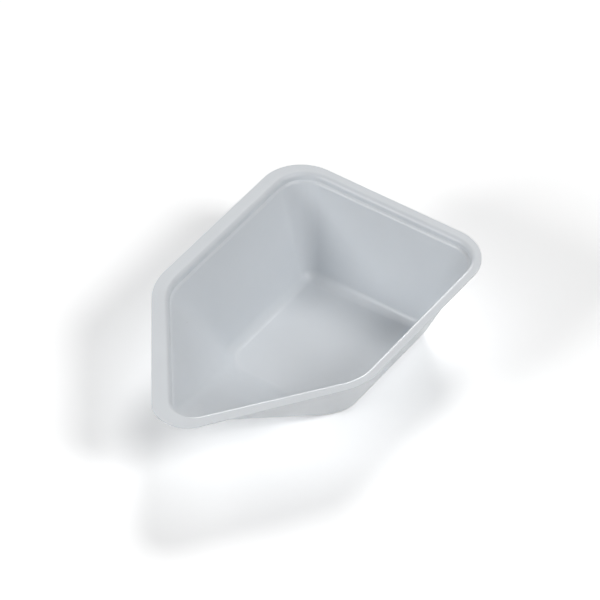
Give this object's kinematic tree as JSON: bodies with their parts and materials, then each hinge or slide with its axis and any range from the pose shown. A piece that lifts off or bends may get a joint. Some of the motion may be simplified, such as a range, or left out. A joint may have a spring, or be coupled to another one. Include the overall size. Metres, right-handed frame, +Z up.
{
  "type": "weighing boat",
  "caption": "Shallow five-sided lab dish, vacuum-formed in white polystyrene, with a flat flange, a stepped rim, a flat floor and a ramp up to a pour tip.",
  "frame": {"origin": "under the middle of the overall length and width, on the surface that the floor stands on", "axes": "+X towards the pour tip, +Y across the boat, +Z up"},
  "size_m": [0.089, 0.057, 0.024],
  "materials": {
    "polystyrene": "white high-impact polystyrene sheet, satin and slightly translucent"
  },
  "bodies": {
    "root": {"weighing_boat": "polystyrene"}
  },
  "joints": []
}
